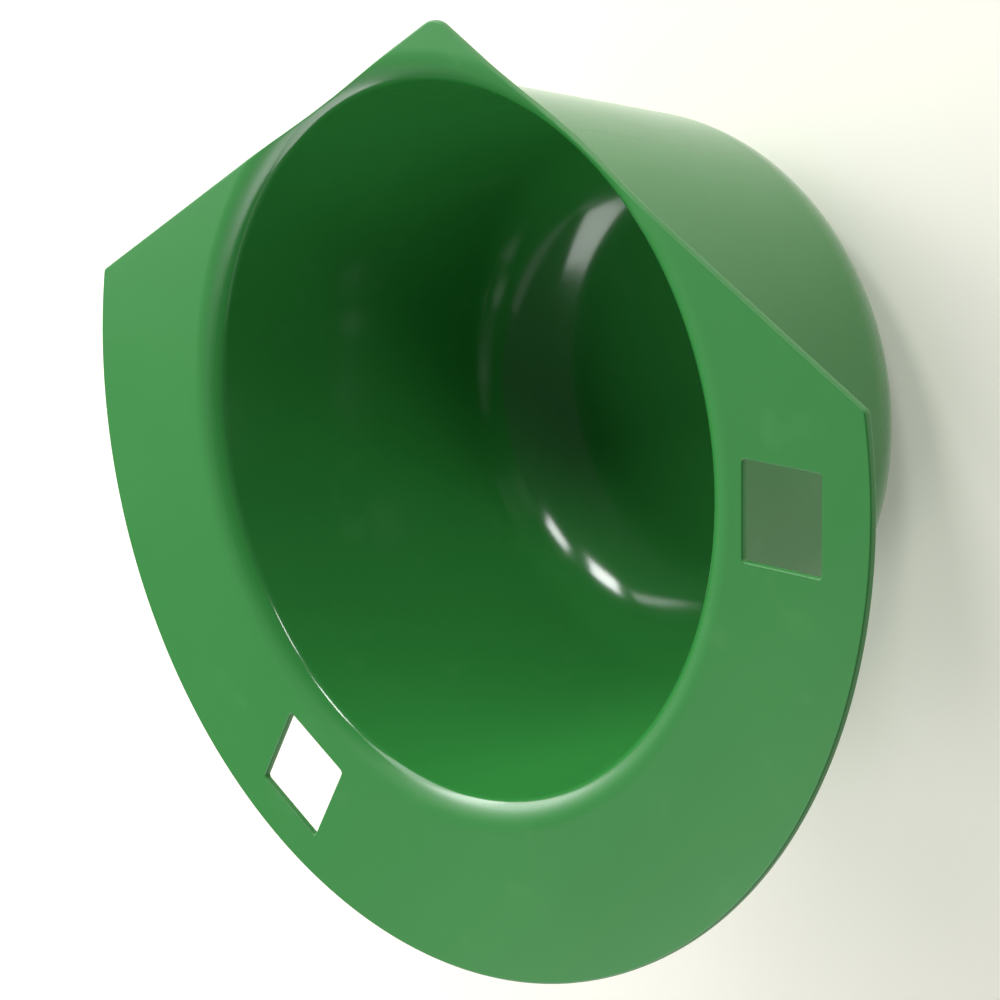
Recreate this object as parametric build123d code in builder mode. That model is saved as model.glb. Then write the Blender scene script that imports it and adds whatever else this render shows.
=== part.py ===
# Corner feed bucket: one green plastic moulding, made here in its natural regions, which meet
# face to face. Millimetres and degrees. +Z runs up the axis of the bowl, the origin is on that
# axis at the underside of the base, and +Y points to the corner of the flange.
from build123d import *
from math import cos, radians, sin, tan
import os

# Driving dimensions
height = 178.0  # underside of the base to the top of the flange
thickness = 3.5  # the same all over the moulding
mouth_radius = 161.0  # inside of the wall, carried up to the top of the flange
wall_taper = 12.2  # lean of the wall from upright
cove_radius = 50.0  # inside, between the floor and the wall
throat_radius = 20.0  # upper side, where the flange turns down into the bowl
throat_turn = 40.0  # angle of that turn; a tighter one goes on from there to the wall
lip_radius = 5.0  # upper side of the tighter turn
edge_land = 1.0  # left outside the top of the wall where each straight edge passes it
corner_angle = 121.5  # between the two straight edges
corner_radius = 12.0  # where the straight edges meet
flange_width = 74.0  # from the throat to the round front
front_offset = 6.0  # centre of the round front, from the bowl's axis towards the corner
tip_radius = 3.0  # where a straight edge meets the round front
hole_side = 42.0  # square holes through the flange
hole_corner_radius = 1.5
hole_land = 6.6  # flange left between the throat and each hole
hole_angles = (0.5, 240.0)  # from +X; one side of each hole faces the axis

# Unit vector square to the wall, pointing out of the bowl, as (radius, height)
wall_normal = (cos(radians(wall_taper)), -sin(radians(wall_taper)))
fillet_reach = tan(radians((90 - wall_taper) / 2))  # tangent length of a fillet of radius 1

# Cove: its centre lies inside the bowl, over the edge of the flat floor
floor_corner_radius = mouth_radius - (height - thickness) * tan(radians(wall_taper))
floor_radius = floor_corner_radius - cove_radius * fillet_reach
cove_centre = (floor_radius, thickness + cove_radius)

# Throat: the centres of its two turns lie outside the bowl, under the flange
lip_drop = throat_radius - (throat_radius - lip_radius) * cos(radians(throat_turn))
lip_inset = (throat_radius - lip_radius) * sin(radians(throat_turn))
lip_reach = (lip_radius + lip_drop * wall_normal[1]) / wall_normal[0]
throat_circle = mouth_radius + lip_reach + lip_inset
throat_centre = (throat_circle, height - throat_radius)
lip_centre = (throat_circle - lip_inset, height - lip_drop)
lip_turn = 90 - wall_taper - throat_turn


def off_wall(centre, distance):
    """Point at a distance from a centre, square to the wall."""
    return (centre[0] + distance * wall_normal[0], centre[1] + distance * wall_normal[1])


wall_foot_inside = off_wall(cove_centre, cove_radius)
wall_foot_outside = off_wall(cove_centre, cove_radius + thickness)
wall_head_inside = off_wall(lip_centre, -lip_radius)
wall_head_outside = off_wall(lip_centre, thickness - lip_radius)

# Flange outline and holes
front_radius = throat_circle + flange_width
hole_distance = throat_circle + hole_land + hole_side / 2
edge_distance = wall_head_outside[0] + edge_land
half_corner = radians(corner_angle / 2)
apex = edge_distance / sin(half_corner)  # sharp corner, along +Y
wedge_depth = apex + 2 * front_radius  # far enough to pass the round front
narrowest = edge_distance * sin(half_corner)  # Y of the points where the flange is narrowest

with BuildSketch() as outline:
    with Locations((0, front_offset)):
        Circle(front_radius)
    with BuildLine():
        Polyline(
            (0, apex),
            (-wedge_depth * tan(half_corner), apex - wedge_depth),
            (wedge_depth * tan(half_corner), apex - wedge_depth),
            close=True,
        )
    make_face(mode=Mode.INTERSECT)
    fillet(outline.vertices().sort_by(Axis.Y)[-1], corner_radius)
    tips = outline.vertices().group_by(Axis.X)
    fillet(tips[0] + tips[-1], tip_radius)

# Flat round floor
with BuildPart() as base_floor:
    with BuildSketch(Plane.XY):
        Circle(floor_radius)
    extrude(amount=thickness)

# Rounded ring between the floor and the wall
with BuildPart() as base_cove:
    with BuildSketch(Plane.XZ):
        with BuildLine():
            cove_inside = CenterArc(cove_centre, cove_radius, 270, 90 - wall_taper)
            cove_outside = CenterArc(cove_centre, cove_radius + thickness, 270, 90 - wall_taper)
            Line(cove_inside @ 0, cove_outside @ 0)
            Line(cove_inside @ 1, cove_outside @ 1)
        make_face()
    revolve(axis=Axis.Z)

# Tapered wall
with BuildPart() as bowl_wall:
    with BuildSketch(Plane.XZ):
        with BuildLine():
            Polyline(
                wall_foot_inside,
                wall_foot_outside,
                wall_head_outside,
                wall_head_inside,
                close=True,
            )
        make_face()
    revolve(axis=Axis.Z)

# Rounded throat, trimmed where the straight edges of the flange run past it
with BuildPart() as throat_ring:
    with BuildSketch(Plane.XZ):
        with BuildLine():
            throat_top = CenterArc(throat_centre, throat_radius, 90, throat_turn)
            CenterArc(lip_centre, lip_radius, 90 + throat_turn, lip_turn)
            throat_under = CenterArc(throat_centre, throat_radius - thickness, 90, throat_turn)
            CenterArc(lip_centre, lip_radius - thickness, 90 + throat_turn, lip_turn)
            Line(throat_top @ 0, throat_under @ 0)
            Line(wall_head_inside, wall_head_outside)
        make_face()
    revolve(axis=Axis.Z)
    with BuildSketch(Plane.XY):
        add(outline.sketch)
    extrude(amount=height, mode=Mode.INTERSECT)

# Flange between the throat and the corner
with BuildPart() as corner_plate:
    with BuildSketch(Plane.XY.offset(height - thickness)):
        add(outline.sketch)
        Circle(throat_circle, mode=Mode.SUBTRACT)
        with Locations((0, narrowest)):
            Rectangle(
                4 * front_radius,
                wedge_depth,
                align=(Align.CENTER, Align.MIN),
                mode=Mode.INTERSECT,
            )
    extrude(amount=thickness)

# Flange on from its narrowest points, round the front, with the two square holes
with BuildSketch(Plane.XY.offset(height - thickness)) as wide_flange:
    add(outline.sketch)
    Circle(throat_circle, mode=Mode.SUBTRACT)
    with Locations((0, narrowest)):
        Rectangle(
            4 * front_radius,
            wedge_depth,
            align=(Align.CENTER, Align.MIN),
            mode=Mode.SUBTRACT,
        )
    for hole_angle in hole_angles:
        with PolarLocations(hole_distance, 1, start_angle=hole_angle):
            RectangleRounded(hole_side, hole_side, hole_corner_radius, mode=Mode.SUBTRACT)

# The wide flange is divided through the middle of each hole, along lines from the bowl's axis
right_line, left_line = [
    (wedge_depth * cos(radians(hole_angle)), wedge_depth * sin(radians(hole_angle)))
    for hole_angle in hole_angles
]
with BuildSketch(Plane.XY.offset(height - thickness)) as right_sector:
    Polygon(
        (0, 0),
        right_line,
        (wedge_depth, wedge_depth),
        (0, wedge_depth),
        align=None,
    )
with BuildSketch(Plane.XY.offset(height - thickness)) as left_sector:
    Polygon(
        (0, 0),
        (0, wedge_depth),
        (-wedge_depth, wedge_depth),
        (-wedge_depth, -wedge_depth),
        left_line,
        align=None,
    )

with BuildPart() as right_flange:
    add(wide_flange.sketch & right_sector.sketch)
    extrude(amount=thickness)

with BuildPart() as left_flange:
    add(wide_flange.sketch & left_sector.sketch)
    extrude(amount=thickness)

with BuildPart() as front_flange:
    add(wide_flange.sketch - right_sector.sketch - left_sector.sketch)
    extrude(amount=thickness)

base_floor.part.label = "base_floor"
base_cove.part.label = "base_cove"
bowl_wall.part.label = "bowl_wall"
throat_ring.part.label = "throat_ring"
corner_plate.part.label = "corner_plate"
right_flange.part.label = "right_flange"
left_flange.part.label = "left_flange"
front_flange.part.label = "front_flange"

os.makedirs("parts", exist_ok=True)
export_step(base_floor.part, "parts/base_floor.step")
export_step(base_cove.part, "parts/base_cove.step")
export_step(bowl_wall.part, "parts/bowl_wall.step")
export_step(throat_ring.part, "parts/throat_ring.step")
export_step(corner_plate.part, "parts/corner_plate.step")
export_step(right_flange.part, "parts/right_flange.step")
export_step(left_flange.part, "parts/left_flange.step")
export_step(front_flange.part, "parts/front_flange.step")

print("flat floor radius", round(floor_radius, 2))
print("throat circle radius", round(throat_circle, 2))
print("front radius", round(front_radius, 2), "holes at", round(hole_distance, 2))
print("wall head", [round(value, 2) for value in wall_head_inside])
print("straight edge from axis", round(edge_distance, 2), "corner at", round(apex, 2))
print("narrowest flange at y", round(narrowest, 2))
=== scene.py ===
# Corner feed bucket, one green plastic moulding. Metres, bowl axis on Z, flange corner towards +Y.
from math import atan2, cos, hypot, pi, radians, sin, sqrt

import bmesh
import bpy
from mathutils import Matrix, Vector


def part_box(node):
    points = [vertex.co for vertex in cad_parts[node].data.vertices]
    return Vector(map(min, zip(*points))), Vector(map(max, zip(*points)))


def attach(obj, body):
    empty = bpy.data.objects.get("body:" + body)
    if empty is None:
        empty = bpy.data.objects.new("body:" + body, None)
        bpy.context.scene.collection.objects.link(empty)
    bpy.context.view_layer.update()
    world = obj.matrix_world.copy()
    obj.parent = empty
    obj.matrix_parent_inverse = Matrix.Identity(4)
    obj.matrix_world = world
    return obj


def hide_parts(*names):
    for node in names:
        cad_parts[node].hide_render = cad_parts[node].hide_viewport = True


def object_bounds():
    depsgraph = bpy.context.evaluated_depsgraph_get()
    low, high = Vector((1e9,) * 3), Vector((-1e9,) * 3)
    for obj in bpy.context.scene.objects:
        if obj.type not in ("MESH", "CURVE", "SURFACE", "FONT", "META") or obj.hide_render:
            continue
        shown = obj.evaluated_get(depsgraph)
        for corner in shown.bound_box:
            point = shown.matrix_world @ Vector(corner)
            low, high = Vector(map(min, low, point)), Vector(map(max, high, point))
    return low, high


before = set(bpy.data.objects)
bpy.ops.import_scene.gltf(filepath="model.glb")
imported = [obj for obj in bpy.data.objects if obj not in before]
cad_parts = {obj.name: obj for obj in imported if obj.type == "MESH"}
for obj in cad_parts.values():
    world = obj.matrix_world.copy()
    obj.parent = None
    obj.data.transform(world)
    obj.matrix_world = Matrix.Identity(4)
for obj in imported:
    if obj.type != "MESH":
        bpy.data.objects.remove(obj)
cadLow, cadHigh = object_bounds()
print("frame loaded,", len(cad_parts), "nodes")


# selecting and editing

def onlySelect(piece):
    if bpy.context.object and bpy.context.object.mode != "OBJECT":
        bpy.ops.object.mode_set(mode="OBJECT")
    bpy.ops.object.select_all(action="DESELECT")
    piece.select_set(True)
    bpy.context.view_layer.objects.active = piece


def startPiece(name):
    # a small plane merged to one point, ready to be extruded along a path
    bpy.ops.object.select_all(action="DESELECT")
    bpy.ops.mesh.primitive_plane_add(size=0.01)
    piece = bpy.context.object
    piece.name = name
    bpy.ops.object.mode_set(mode="EDIT")
    bpy.ops.mesh.select_all(action="SELECT")
    bpy.ops.mesh.merge(type="CENTER")
    return piece


def drawPath(points):
    # the selected point goes to the first place, and is extruded to the others in turn
    here = Vector((0, 0, 0))
    for number, point in enumerate(points):
        step = Vector(point) - here
        here = Vector(point)
        if number:
            bpy.ops.mesh.extrude_vertices_move(TRANSFORM_OT_translate={"value": step})
        else:
            bpy.ops.transform.translate(value=step)


def pick(piece, kind, wanted):
    # in edit mode: selects the verts, edges or faces that pass the test
    bpy.ops.mesh.select_all(action="DESELECT")
    bpy.ops.mesh.select_mode(type={"verts": "VERT", "edges": "EDGE", "faces": "FACE"}[kind])
    shape = bmesh.from_edit_mesh(piece.data)
    for item in getattr(shape, kind):
        if wanted(item):
            item.select = True
    shape.select_flush_mode()
    bmesh.update_edit_mesh(piece.data)


def applyModifier(piece, name, kind, **settings):
    onlySelect(piece)
    modifier = piece.modifiers.new(name, kind)
    for key, value in settings.items():
        setattr(modifier, key, value)
    bpy.ops.object.modifier_apply(modifier=modifier.name)


def arc(centre, radius, start, turn, steps):
    # points along an arc, both ends included, in the plane of its two numbers
    return [(centre[0] + radius * cos(start + turn * k / steps),
             centre[1] + radius * sin(start + turn * k / steps)) for k in range(steps + 1)]


# the bowl and its flange, in metres and radians

bucket = {
    "thickness": 0.0035,
    "mouthRadius": 0.161,       # inside of the wall, carried up to the flange top
    "taper": radians(12.2),
    "cove": 0.050,              # inside turn between floor and wall
    "throat": 0.020,            # upper side, from the flange down
    "throatTurn": radians(40),
    "lip": 0.005,               # the tighter turn below it
    "cornerAngle": radians(121.5),
    "cornerRadius": 0.012,
    "edgeLand": 0.001,          # left outside the wall where a straight edge passes it
    "tipRadius": 0.003,
    "frontOffset": 0.006,
    "holeSide": 0.042,
    "holeRadius": 0.0015,
    "holeLand": 0.0066,
    "holeAngles": (radians(0.5), radians(240)),
    "edgeRound": 0.0009,        # on the rim and round the holes
    "frontSteps": 92,           # spokes on each side of the middle
    "tipSteps": 9,
    "edgeSteps": 64,
    "cornerSteps": 8,
    "throatRows": 18,
    "flangeRows": 7,
}


def makeOutline(size, edge):
    # points round the rim of the flange, with the square-out direction at each
    half = size["cornerAngle"] / 2
    front, tip, corner = size["flangeRadius"], size["tipRadius"], size["cornerRadius"]
    outward, along = Vector((cos(half), sin(half))), Vector((sin(half), -cos(half)))
    frontCentre = Vector((0, size["frontOffset"]))
    tipOut = edge - tip
    aside = tipOut - frontCentre.dot(outward)
    tipAlong = frontCentre.dot(along) + sqrt((front - tip) ** 2 - aside ** 2)
    tipCentre = along * tipAlong + outward * tipOut
    tipFrom = atan2(*(tipCentre - frontCentre).yx)
    cornerCentre = Vector((0, (edge - corner) / sin(half)))
    cornerAlong = cornerCentre.dot(along)
    edgeTurn = atan2(*outward.yx)

    right = []
    for centre, radius, start, turn, steps in (
            (frontCentre, front, -pi / 2, tipFrom + pi / 2, size["frontSteps"]),
            (tipCentre, tip, tipFrom, edgeTurn - tipFrom, size["tipSteps"])):
        for k in range(steps):
            angle = start + turn * k / steps
            facing = Vector((cos(angle), sin(angle)))
            right.append((centre + facing * radius, facing))
    for k in range(size["edgeSteps"]):
        place = tipAlong + (cornerAlong - tipAlong) * k / size["edgeSteps"]
        right.append((outward * edge + along * place, outward))
    for k in range(size["cornerSteps"] + 1):
        angle = edgeTurn + (pi / 2 - edgeTurn) * k / size["cornerSteps"]
        facing = Vector((cos(angle), sin(angle)))
        right.append((cornerCentre + facing * corner, facing))
    left = [(Vector((-p.x, p.y)), Vector((-n.x, n.y))) for p, n in right[-2:0:-1]]
    return right + left


def walk(path, distance):
    # the place that far along a path of points
    for (r0, z0), (r1, z1) in zip(path, path[1:]):
        length = hypot(r1 - r0, z1 - z0)
        if distance <= length:
            break
        distance -= length
    share = distance / length
    return (r0 + (r1 - r0) * share, z0 + (z1 - z0) * share)


def reachOf(path, radius):
    # how far along a path it comes to a radius
    total = 0
    for (r0, z0), (r1, z1) in zip(path, path[1:]):
        length = hypot(r1 - r0, z1 - z0)
        if r1 >= radius > r0:
            return total + length * (radius - r0) / (r1 - r0)
        total += length
    return total


def rounded(start, corner, end):
    # a soft turn from start to end that leans towards the corner, without its first point
    made = []
    for k in range(1, 5):
        t = k / 4
        shares = ((1 - t) ** 2, 2 * t * (1 - t), t * t)
        made.append(tuple(start[i] * shares[0] + corner[i] * shares[1] + end[i] * shares[2]
                          for i in (0, 1)))
    return made


class Section:
    # the cut through one side of the bucket, for any distance from the axis to the rim
    def __init__(self, size, top, floorEdge):
        self.size = size
        self.floorEdge, self.top = floorEdge, top
        taper = size["taper"]
        self.cove = (floorEdge, size["thickness"] + size["cove"])
        drop = size["throat"] - (size["throat"] - size["lip"]) * cos(size["throatTurn"])
        inset = (size["throat"] - size["lip"]) * sin(size["throatTurn"])
        reach = (size["lip"] - drop * sin(taper)) / cos(taper)
        self.throatEdge = size["mouthRadius"] + reach + inset
        self.throat = (self.throatEdge, top - size["throat"])
        self.lip = (self.throatEdge - inset, top - drop)
        self.lipTurn = pi / 2 - taper - size["throatTurn"]
        self.low = [self.bowlSide(0), self.bowlSide(size["thickness"])]
        self.high = [self.flangeSide(0), self.flangeSide(size["thickness"])]

    def bowlSide(self, depth):
        # from the middle of the floor up to the top of the wall
        size = self.size
        cove = arc(self.cove, size["cove"] + depth, -pi / 2, pi / 2 - size["taper"], 22)
        head = arc(self.lip, size["lip"] - depth, pi - size["taper"], 0, 1)[0]
        foot = cove[-1]
        wall = [(foot[0] + (head[0] - foot[0]) * k / 10, foot[1] + (head[1] - foot[1]) * k / 10)
                for k in range(1, 10)]
        floor = [(cove[0][0] * k / 4, cove[0][1]) for k in range(4)]
        return floor + cove + wall

    def flangeSide(self, depth):
        # from the top of the wall, round the lip and throat, and out along the flange
        size = self.size
        lip = arc(self.lip, size["lip"] - depth, pi - size["taper"], -self.lipTurn, 40)
        turn = size["throatTurn"]
        throat = arc(self.throat, size["throat"] - depth, pi / 2 + turn, -turn, 60)
        return lip + throat[1:] + [(1.2 * size["flangeRadius"], self.top - depth)]

    def rowsTo(self, path, radius):
        # rows along the lip, the throat and the flange, squeezed where the rim comes in close
        count, flangeCount = self.size["throatRows"], self.size["flangeRows"]
        turns = reachOf(path, self.throatEdge)
        total = reachOf(path, radius)
        least = turns + 0.003
        step = (max(total, least) - turns) / flangeCount
        rows = [turns * k / count for k in range(count + 1)]
        rows.append(turns + min(0.0008, step / 2))  # holds the flange flat up to the throat
        rows += [turns + step * (k + 1) for k in range(flangeCount)]
        squeeze = min(1, total / least)
        return [walk(path, row * squeeze) for row in rows]

    def points(self, rim, stretch):
        # the whole closed run, from the floor's top over the rim to the floor's underside
        size = self.size
        softness = size["edgeRound"] * stretch
        upper = self.rowsTo(self.high[0], rim - softness)
        lower = self.rowsTo(self.high[1], rim - softness)
        (r0, z0), (r1, z1) = upper[-2:]
        slope = (z1 - z0) / (r1 - r0)
        (r2, z2), (r3, z3) = lower[-2:]
        under = min(0.5, (z3 - z2) / (r3 - r2))     # the underside is steep where it meets the wall

        topCorner, lowCorner = (rim, z1 + slope * softness), (rim, z3 + under * softness)
        topEnd = (rim, topCorner[1] - size["edgeRound"])
        lowEnd = (rim, lowCorner[1] + size["edgeRound"])
        topRound = rounded(upper[-1], topCorner, topEnd)
        lowRound = rounded(lower[-1], lowCorner, lowEnd)
        return self.low[0] + upper + topRound + lowRound[::-1] + lower[::-1] + self.low[1][::-1]


def makeBowl(size, section, outline):
    # one closed section is turned round the axis, then each spoke's rim is drawn in to the outline
    wide = section.points(size["flangeRadius"] * 1.1, 1)
    bowl = startPiece("bucket")
    drawPath([(r, 0, z) for r, z in wide])
    applyModifier(bowl, "turned", "SCREW", axis="Z", angle=2 * pi, steps=len(outline),
                  render_steps=len(outline), use_merge_vertices=True, merge_threshold=1e-6)
    bpy.ops.object.mode_set(mode="EDIT")
    bpy.ops.mesh.select_all(action="SELECT")
    bpy.ops.mesh.normals_make_consistent(inside=False)
    bpy.ops.object.mode_set(mode="OBJECT")

    grid = 1e5  # to a hundredth of a millimetre
    places = {(round(r * grid), round(z * grid)): number for number, (r, z) in enumerate(wide)}
    spokes = []
    for point, facing in outline:
        radial = point.normalized()
        spokes.append((radial, section.points(point.length, 1 / radial.dot(facing))))
    for vertex in bowl.data.vertices:
        r, z = round(hypot(vertex.co.x, vertex.co.y) * grid), round(vertex.co.z * grid)
        found = [places.get((r + i, z + j)) for i in (0, -1, 1) for j in (0, -1, 1)]
        number = next(n for n in found if n is not None)
        turn = atan2(vertex.co.y, vertex.co.x) / (2 * pi) * len(outline)
        radial, points = spokes[round(turn) % len(outline)]
        newR, newZ = points[number]
        vertex.co = (radial.x * newR, radial.y * newR, newZ)
    bpy.ops.object.mode_set(mode="EDIT")
    bpy.ops.mesh.select_all(action="SELECT")
    bpy.ops.mesh.remove_doubles(threshold=3e-5)
    bpy.ops.object.mode_set(mode="OBJECT")
    return bowl


def makeHoleBlock(size, distance, angle):
    # a square peg with rounded upright edges, one side facing the bowl's axis
    bpy.ops.object.select_all(action="DESELECT")
    place = (distance * cos(angle), distance * sin(angle), flangeTop)
    bpy.ops.mesh.primitive_cube_add(size=1, location=place)
    block = bpy.context.object
    block.scale = (size["holeSide"], size["holeSide"], 0.05)
    block.rotation_euler.z = angle
    bpy.ops.object.transform_apply(location=True, rotation=True, scale=True)
    bpy.ops.object.mode_set(mode="EDIT")
    pick(block, "edges", lambda e: abs((e.verts[0].co - e.verts[1].co).z) > 0.01)
    bpy.ops.mesh.bevel(offset=size["holeRadius"], segments=4, affect="EDGES")
    bpy.ops.object.mode_set(mode="OBJECT")
    return block


def cutHole(bowl, size, distance, angle):
    middle = Vector((distance * cos(angle), distance * sin(angle)))
    block = makeHoleBlock(size, distance, angle)
    applyModifier(bowl, "hole", "BOOLEAN", operation="DIFFERENCE", object=block, solver="EXACT")
    onlySelect(block)
    bpy.ops.object.delete()
    # the flat faces around the hole are joined up, so that its edges can be rounded
    onlySelect(bowl)
    bpy.ops.object.mode_set(mode="EDIT")
    reach = size["holeSide"] * 0.72
    lowest = flangeTop - 2 * size["thickness"]
    pick(bowl, "faces", lambda f: abs(f.normal.z) > 0.9999 and f.calc_center_median().z > lowest
         and any((v.co.xy - middle).length < reach for v in f.verts))
    bpy.ops.mesh.dissolve_limited(angle_limit=radians(0.5))
    bpy.ops.object.mode_set(mode="OBJECT")


bucket["flangeRadius"] = cadHigh.x
flangeTop = cadHigh.z
section = Section(bucket, flangeTop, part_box("base_floor")[1].x)
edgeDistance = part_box("bowl_wall")[1].x + bucket["edgeLand"]
bowl = makeBowl(bucket, section, makeOutline(bucket, edgeDistance))
print("bowl and flange shaped,", len(bowl.data.polygons), "faces")
holeDistance = section.throatEdge + bucket["holeLand"] + bucket["holeSide"] / 2
for angle in bucket["holeAngles"]:
    cutHole(bowl, bucket, holeDistance, angle)
applyModifier(bowl, "edges", "BEVEL", width=bucket["edgeRound"], segments=3, limit_method="ANGLE",
              angle_limit=radians(65), use_clamp_overlap=False)
onlySelect(bowl)
bpy.ops.object.shade_smooth_by_angle(angle=radians(50))
applyModifier(bowl, "normals", "WEIGHTED_NORMAL", mode="FACE_AREA", weight=60, keep_sharp=True)
print("holes cut and edges rounded,", len(bowl.data.polygons), "faces")


# the plastic and its nodes

class Value:
    # a socket that takes part in arithmetic
    def __init__(self, tree, socket):
        self.tree, self.socket = tree, socket

    def maths(self, operation, first, second):
        node = self.tree.nodes.new("ShaderNodeMath")
        node.operation = operation
        for place, item in zip(node.inputs, (first, second)):
            if isinstance(item, Value):
                self.tree.links.new(item.socket, place)
            else:
                place.default_value = item
        return Value(self.tree, node.outputs[0])

    def __add__(self, other):
        return self.maths("ADD", self, other)

    def __mul__(self, other):
        return self.maths("MULTIPLY", self, other)

    __radd__, __rmul__ = __add__, __mul__


class Finish:
    def __init__(self, name):
        self.material = bpy.data.materials.new(name)
        self.material.use_nodes = True
        self.tree = self.material.node_tree
        self.tree.nodes.clear()

    def fill(self, place, value):
        # a node's input takes a link or a plain value
        if isinstance(value, Value):
            self.tree.links.new(value.socket, place)
        else:
            place.default_value = value

    def node(self, kind, settings=None, output=0, **sockets):
        made = self.tree.nodes.new(kind)
        for key, value in (settings or {}).items():
            setattr(made, key, value)
        for key, value in sockets.items():
            self.fill(made.inputs[key.replace("_", " ")], value)
        return Value(self.tree, made.outputs[output]) if made.outputs else None

    def mix(self, factor, first, second):
        made = self.tree.nodes.new("ShaderNodeMix")
        made.data_type = "RGBA"
        for number, value in ((0, factor), (6, first), (7, second)):
            self.fill(made.inputs[number], value)
        return Value(self.tree, made.outputs[2])


plastic = {
    "green": (0.034, 0.235, 0.046, 1),
    "deep": (0.028, 0.210, 0.041, 1),
    "scuffed": (0.080, 0.290, 0.085, 1),
    "scuffShow": 0.2,
    "roughness": 0.10,
    "mattFrom": 0.1735,         # the gloss goes off between these heights, up the throat
    "mattTo": 0.1765,
    "mattMore": 0.28,
    "waveStrength": 0.25,
    "waveHeight": 0.0012,
}


def makePlastic(look):
    finish = Finish("greenPlastic")
    place = finish.node("ShaderNodeTexCoord", output=3)
    noise = "ShaderNodeTexNoise"
    cloud = finish.node(noise, Vector=place, Scale=9.0, Detail=3.0, Roughness=0.5)
    grain = finish.node(noise, Vector=place, Scale=420.0, Detail=2.0, Roughness=0.6)
    smear = finish.node(noise, Vector=place, Scale=38.0, Detail=4.0, Roughness=0.55)
    scuffs = finish.node("ShaderNodeMapRange", Value=smear, From_Min=0.60, From_Max=0.78)
    colour = finish.mix(cloud, look["deep"], look["green"])
    colour = finish.mix(scuffs * look["scuffShow"], colour, look["scuffed"])
    rise = finish.node("ShaderNodeSeparateXYZ", output=2, Vector=place)
    matt = finish.node("ShaderNodeMapRange", Value=rise, From_Min=look["mattFrom"],
                       From_Max=look["mattTo"])
    roughness = look["roughness"] + matt * look["mattMore"]
    roughness = roughness + cloud * 0.05 + scuffs * 0.04 + grain * 0.02
    wave = finish.node(noise, Vector=place, Scale=16.0, Detail=1.0, Roughness=0.4)
    bump = finish.node("ShaderNodeBump", Height=wave, Strength=look["waveStrength"],
                       Distance=look["waveHeight"])
    surface = finish.node("ShaderNodeBsdfPrincipled", Base_Color=colour, Roughness=roughness,
                          Normal=bump, IOR=1.49)
    finish.node("ShaderNodeOutputMaterial", Surface=surface)
    return finish.material


bowl.data.materials.clear()
bowl.data.materials.append(makePlastic(plastic))
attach(bowl, "root")
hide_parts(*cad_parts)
print("plastic finish on the bucket")


# floor, lights and camera

studio = {
    "floorShade": (0.84, 0.81, 0.74, 1),
    "floorGlow": 0.28,
    "sky": (0.95, 0.96, 1.0, 1),
    "skyPower": 0.13,
    "lights": [
        # name, azimuth, elevation, width, height, watts
        ("keyRight", 66, 31, 0.42, 0.30, 7.5),
        ("keyLeft", 97, 37, 0.42, 0.30, 10.0),
        ("sideNear", 137, 27, 1.2, 0.9, 17.0),
        ("sideFar", 161, 24, 1.1, 0.8, 17.5),
        ("back", 246, 27, 1.0, 0.7, 10.0),
        ("backHigh", 244, 50, 0.7, 0.6, 8.0),
        ("wall", -66, 30, 1.7, 0.6, 1.7),
    ],
    "lightDistance": 1.8,
    "lightAim": (0, 0, 0.12),
    "floorSize": 12,
    "cameraPlace": (1.0457, 0.3101, 1.1154),
    "cameraAim": (-0.0238, -0.0380, 0.1200),
    "cameraRoll": radians(-102.80),     # about the line of view
    "lens": 117.83,
}


def makeStudio(look):
    target = Vector(look["lightAim"])
    bpy.ops.object.select_all(action="DESELECT")
    bpy.ops.mesh.primitive_plane_add(size=look["floorSize"])
    floor = bpy.context.object
    floor.name = "floor"
    matte = Finish("paleFloor")
    surface = matte.node("ShaderNodeBsdfPrincipled", Base_Color=look["floorShade"], Roughness=0.9,
                         Emission_Color=look["floorShade"], Emission_Strength=look["floorGlow"])
    matte.node("ShaderNodeOutputMaterial", Surface=surface)
    floor.data.materials.append(matte.material)

    world = bpy.data.worlds.new("studio")
    bpy.context.scene.world = world
    world.use_nodes = True
    world.node_tree.nodes["Background"].inputs["Color"].default_value = look["sky"]
    world.node_tree.nodes["Background"].inputs["Strength"].default_value = look["skyPower"]

    for name, azimuth, elevation, width, height, watts in look["lights"]:
        data = bpy.data.lights.new(name, "AREA")
        data.shape, data.size, data.size_y, data.energy = "RECTANGLE", width, height, watts
        light = bpy.data.objects.new(name, data)
        bpy.context.scene.collection.objects.link(light)
        turn, rise = radians(azimuth), radians(elevation)
        toLight = Vector((cos(turn) * cos(rise), sin(turn) * cos(rise), sin(rise)))
        light.location = target + look["lightDistance"] * toLight
        light.rotation_mode = "QUATERNION"
        light.rotation_quaternion = (target - light.location).to_track_quat("-Z", "Y")

    data = bpy.data.cameras.new("camera")
    data.lens, data.sensor_width = look["lens"], 36
    data.clip_start, data.clip_end = 0.05, 30
    camera = bpy.data.objects.new("camera", data)
    bpy.context.scene.collection.objects.link(camera)
    place = Vector(look["cameraPlace"])
    facing = (Vector(look["cameraAim"]) - place).to_track_quat("-Z", "Y").to_matrix().to_4x4()
    roll = Matrix.Rotation(look["cameraRoll"], 4, "Z")
    camera.matrix_world = Matrix.Translation(place) @ facing @ roll
    bpy.context.scene.camera = camera
    bpy.context.scene.view_settings.view_transform = "Standard"


makeStudio(studio)
print("studio ready")
